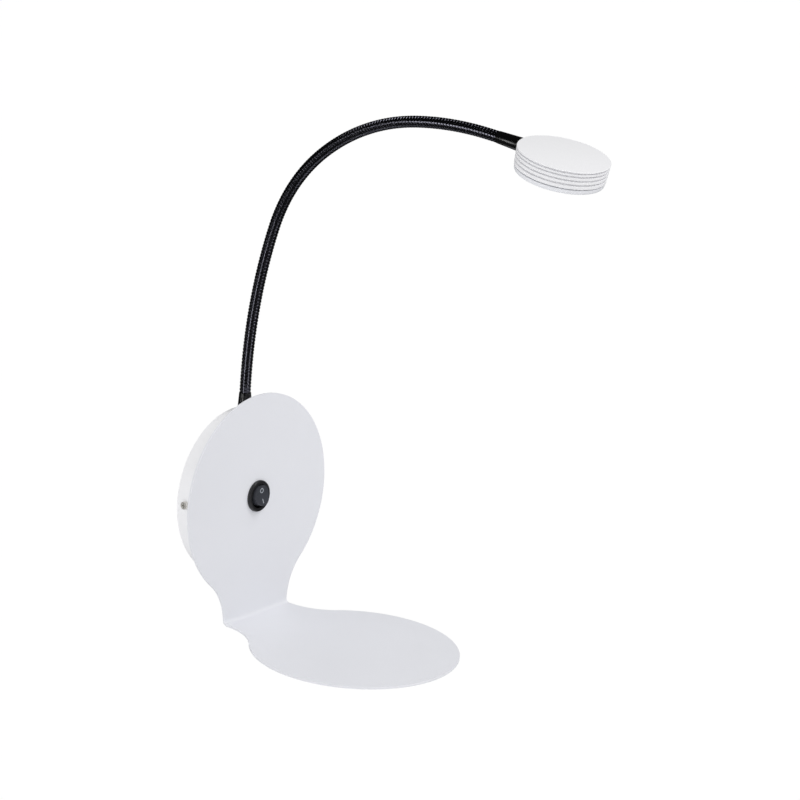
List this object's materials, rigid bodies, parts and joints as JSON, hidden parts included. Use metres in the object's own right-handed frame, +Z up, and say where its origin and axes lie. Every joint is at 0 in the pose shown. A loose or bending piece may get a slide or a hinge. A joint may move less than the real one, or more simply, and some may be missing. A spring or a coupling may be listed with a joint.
{
  "type": "gooseneck wall reading lamp",
  "caption": "Wall reading lamp: round canopy, folded sheet shelf with a rocker switch, and a ribbed gooseneck that carries a finned round LED head.",
  "frame": {"origin": "centre of the wall slots and of the round canopy, on the wall plane", "axes": "+Y into the wall, -Y out to the room, +Z up, +X to the right of someone who faces the wall"},
  "size_m": [0.15, 0.3126, 0.3987],
  "materials": {
    "white_sheet": "satin white powder coat",
    "bracket_steel": "zinc plated",
    "nickel_screw": "nickel plated",
    "black_plastic": "semi gloss black",
    "black_metal": "gloss black",
    "brass": "plain",
    "zinc_fastener": "zinc plated",
    "spring_steel": "plain",
    "white_plastic": "moulded",
    "driver_case": "moulded",
    "grey_pad": "soft",
    "white_head": "satin white powder coat",
    "led_board": "white solder mask",
    "led_chip": "phosphor",
    "diffuser": "opal",
    "lead_brown": "insulation",
    "lead_blue": "insulation",
    "lead_grey": "insulation",
    "lead_green": "insulation"
  },
  "bodies": {
    "wall_unit": {"wall_bracket": "bracket_steel", "canopy": "white_sheet", "side_screws": "nickel_screw", "shelf_plate": "white_sheet", "plate_studs": "zinc_fastener", "plate_nuts": "zinc_fastener", "switch_housing": "black_plastic", "switch_terminals": "brass", "base_ferrule": "black_metal", "ferrule_washer": "zinc_fastener", "ferrule_nut": "zinc_fastener", "terminal_block": "white_plastic", "terminal_screws": "zinc_fastener", "led_driver": "driver_case", "driver_pad": "grey_pad", "earth_stud": "zinc_fastener", "earth_nut": "zinc_fastener", "lead_live": "lead_brown", "lead_switched": "lead_brown", "lead_neutral": "lead_blue", "lead_neck": "lead_grey", "lead_earth": "lead_green"},
    "link_01": {"neck_link_01": "black_metal"},
    "link_02": {"neck_link_02": "black_metal"},
    "link_03": {"neck_link_03": "black_metal"},
    "link_04": {"neck_link_04": "black_metal"},
    "link_05": {"neck_link_05": "black_metal"},
    "link_06": {"neck_link_06": "black_metal"},
    "link_07": {"neck_link_07": "black_metal"},
    "link_08": {"neck_link_08": "black_metal"},
    "link_09": {"neck_link_09": "black_metal"},
    "link_10": {"neck_link_10": "black_metal"},
    "link_11": {"neck_link_11": "black_metal"},
    "link_12": {"neck_link_12": "black_metal"},
    "link_13": {"neck_link_13": "black_metal"},
    "link_14": {"neck_link_14": "black_metal"},
    "link_15": {"neck_link_15": "black_metal"},
    "link_16": {"neck_link_16": "black_metal"},
    "link_17": {"neck_link_17": "black_metal"},
    "link_18": {"neck_link_18": "black_metal"},
    "link_19": {"neck_link_19": "black_metal"},
    "link_20": {"neck_link_20": "black_metal"},
    "link_21": {"neck_link_21": "black_metal"},
    "link_22": {"neck_link_22": "black_metal"},
    "link_23": {"neck_link_23": "black_metal"},
    "head": {"neck_link_24": "black_metal", "end_ferrule": "black_metal", "head_housing": "white_head", "head_grub_screw": "zinc_fastener", "thermal_pad": "grey_pad", "led_board": "led_board", "led_chips": "led_chip", "board_screws": "zinc_fastener", "head_leads": "lead_grey", "diffuser": "diffuser"},
    "rocker": {"switch_rocker": "black_plastic", "switch_plunger": "brass", "switch_spring": "spring_steel"},
    "contact": {"switch_contact": "brass"}
  },
  "joints": [
    {"name": "lower_reach_1", "type": "hinge", "parent": "wall_unit", "child": "link_01", "pos_m": [0, -0.0093, 0.0755], "axis": [1, 0, 0], "range_deg": [-1.8, 9]},
    {"name": "lower_sweep_1", "type": "hinge", "parent": "link_01", "child": "link_02", "pos_m": [0, -0.01017, 0.09047], "axis": [0, 0.9983, 0.0581], "range_deg": [-10, 10]},
    {"name": "lower_reach_2", "type": "hinge", "parent": "link_02", "child": "link_03", "pos_m": [0, -0.01158, 0.10541], "axis": [1, 0, 0], "range_deg": [-1.8, 9]},
    {"name": "lower_sweep_2", "type": "hinge", "parent": "link_03", "child": "link_04", "pos_m": [0, -0.01352, 0.12028], "axis": [0, 0.9916, 0.1295], "range_deg": [-10, 10]},
    {"name": "lower_reach_3", "type": "hinge", "parent": "link_04", "child": "link_05", "pos_m": [0, -0.01599, 0.13508], "axis": [1, 0, 0], "range_deg": [-1.8, 9]},
    {"name": "lower_sweep_3", "type": "hinge", "parent": "link_05", "child": "link_06", "pos_m": [0, -0.019, 0.14977], "axis": [0, 0.9797, 0.2003], "range_deg": [-10, 10]},
    {"name": "lower_reach_4", "type": "hinge", "parent": "link_06", "child": "link_07", "pos_m": [0, -0.02253, 0.16435], "axis": [1, 0, 0], "range_deg": [-1.8, 9]},
    {"name": "lower_sweep_4", "type": "hinge", "parent": "link_07", "child": "link_08", "pos_m": [0, -0.02658, 0.1788], "axis": [0, 0.9629, 0.27], "range_deg": [-10, 10]},
    {"name": "lower_reach_5", "type": "hinge", "parent": "link_08", "child": "link_09", "pos_m": [0, -0.03114, 0.19308], "axis": [1, 0, 0], "range_deg": [-1.8, 9]},
    {"name": "lower_sweep_5", "type": "hinge", "parent": "link_09", "child": "link_10", "pos_m": [0, -0.03629, 0.20717], "axis": [0, 0.9393, 0.3431], "range_deg": [-10, 10]},
    {"name": "lower_reach_6", "type": "hinge", "parent": "link_10", "child": "link_11", "pos_m": [0, -0.04298, 0.2206], "axis": [1, 0, 0], "range_deg": [-1.8, 9]},
    {"name": "lower_sweep_6", "type": "hinge", "parent": "link_11", "child": "link_12", "pos_m": [0, -0.05114, 0.23319], "axis": [0, 0.8394, 0.5435], "range_deg": [-10, 10]},
    {"name": "upper_reach_1", "type": "hinge", "parent": "link_12", "child": "link_13", "pos_m": [0, -0.06065, 0.24479], "axis": [1, 0, 0], "range_deg": [-13, 11]},
    {"name": "upper_sweep_1", "type": "hinge", "parent": "link_13", "child": "link_14", "pos_m": [0, -0.0714, 0.25525], "axis": [0, 0.6974, 0.7167], "range_deg": [-10, 10]},
    {"name": "upper_reach_2", "type": "hinge", "parent": "link_14", "child": "link_15", "pos_m": [0, -0.08319, 0.26451], "axis": [1, 0, 0], "range_deg": [-13, 11]},
    {"name": "upper_sweep_2", "type": "hinge", "parent": "link_15", "child": "link_16", "pos_m": [0, -0.09579, 0.27266], "axis": [0, 0.5431, 0.8397], "range_deg": [-10, 10]},
    {"name": "upper_reach_3", "type": "hinge", "parent": "link_16", "child": "link_17", "pos_m": [0, -0.10908, 0.27962], "axis": [1, 0, 0], "range_deg": [-13, 11]},
    {"name": "upper_sweep_3", "type": "hinge", "parent": "link_17", "child": "link_18", "pos_m": [0, -0.12295, 0.28533], "axis": [0, 0.381, 0.9246], "range_deg": [-10, 10]},
    {"name": "upper_reach_4", "type": "hinge", "parent": "link_18", "child": "link_19", "pos_m": [0, -0.13728, 0.28975], "axis": [1, 0, 0], "range_deg": [-13, 11]},
    {"name": "upper_sweep_4", "type": "hinge", "parent": "link_19", "child": "link_20", "pos_m": [0, -0.15196, 0.29285], "axis": [0, 0.2061, 0.9785], "range_deg": [-10, 10]},
    {"name": "upper_reach_5", "type": "hinge", "parent": "link_20", "child": "link_21", "pos_m": [0, -0.16684, 0.2947], "axis": [1, 0, 0], "range_deg": [-13, 11]},
    {"name": "upper_sweep_5", "type": "hinge", "parent": "link_21", "child": "link_22", "pos_m": [0, -0.18181, 0.29571], "axis": [0, 0.0669, 0.9978], "range_deg": [-10, 10]},
    {"name": "upper_reach_6", "type": "hinge", "parent": "link_22", "child": "link_23", "pos_m": [0, -0.19681, 0.29585], "axis": [1, 0, 0], "range_deg": [-13, 11]},
    {"name": "upper_sweep_6", "type": "hinge", "parent": "link_23", "child": "head", "pos_m": [0, -0.21179, 0.29515], "axis": [0, -0.0472, 0.9989], "range_deg": [-10, 10]},
    {"name": "rocker_tilt", "type": "hinge", "parent": "wall_unit", "child": "rocker", "pos_m": [0, -0.0212, 0], "axis": [1, 0, 0], "range_deg": [0, 20]},
    {"name": "contact_tilt", "type": "hinge", "parent": "wall_unit", "child": "contact", "pos_m": [0, -0.01315, 0], "axis": [1, 0, 0], "range_deg": [-12, 0]}
  ],
  "couplings": [
    {"joint": "lower_reach_2", "follows": "lower_reach_1", "ratio": 1},
    {"joint": "lower_sweep_2", "follows": "lower_sweep_1", "ratio": 1},
    {"joint": "lower_reach_3", "follows": "lower_reach_1", "ratio": 1},
    {"joint": "lower_sweep_3", "follows": "lower_sweep_1", "ratio": 1},
    {"joint": "lower_reach_4", "follows": "lower_reach_1", "ratio": 1},
    {"joint": "lower_sweep_4", "follows": "lower_sweep_1", "ratio": 1},
    {"joint": "lower_reach_5", "follows": "lower_reach_1", "ratio": 1},
    {"joint": "lower_sweep_5", "follows": "lower_sweep_1", "ratio": 1},
    {"joint": "lower_reach_6", "follows": "lower_reach_1", "ratio": 1},
    {"joint": "lower_sweep_6", "follows": "lower_sweep_1", "ratio": 1},
    {"joint": "upper_reach_2", "follows": "upper_reach_1", "ratio": 1},
    {"joint": "upper_sweep_2", "follows": "upper_sweep_1", "ratio": 1},
    {"joint": "upper_reach_3", "follows": "upper_reach_1", "ratio": 1},
    {"joint": "upper_sweep_3", "follows": "upper_sweep_1", "ratio": 1},
    {"joint": "upper_reach_4", "follows": "upper_reach_1", "ratio": 1},
    {"joint": "upper_sweep_4", "follows": "upper_sweep_1", "ratio": 1},
    {"joint": "upper_reach_5", "follows": "upper_reach_1", "ratio": 1},
    {"joint": "upper_sweep_5", "follows": "upper_sweep_1", "ratio": 1},
    {"joint": "upper_reach_6", "follows": "upper_reach_1", "ratio": 1},
    {"joint": "upper_sweep_6", "follows": "upper_sweep_1", "ratio": 1},
    {"joint": "contact_tilt", "follows": "rocker_tilt", "ratio": -0.6}
  ]
}
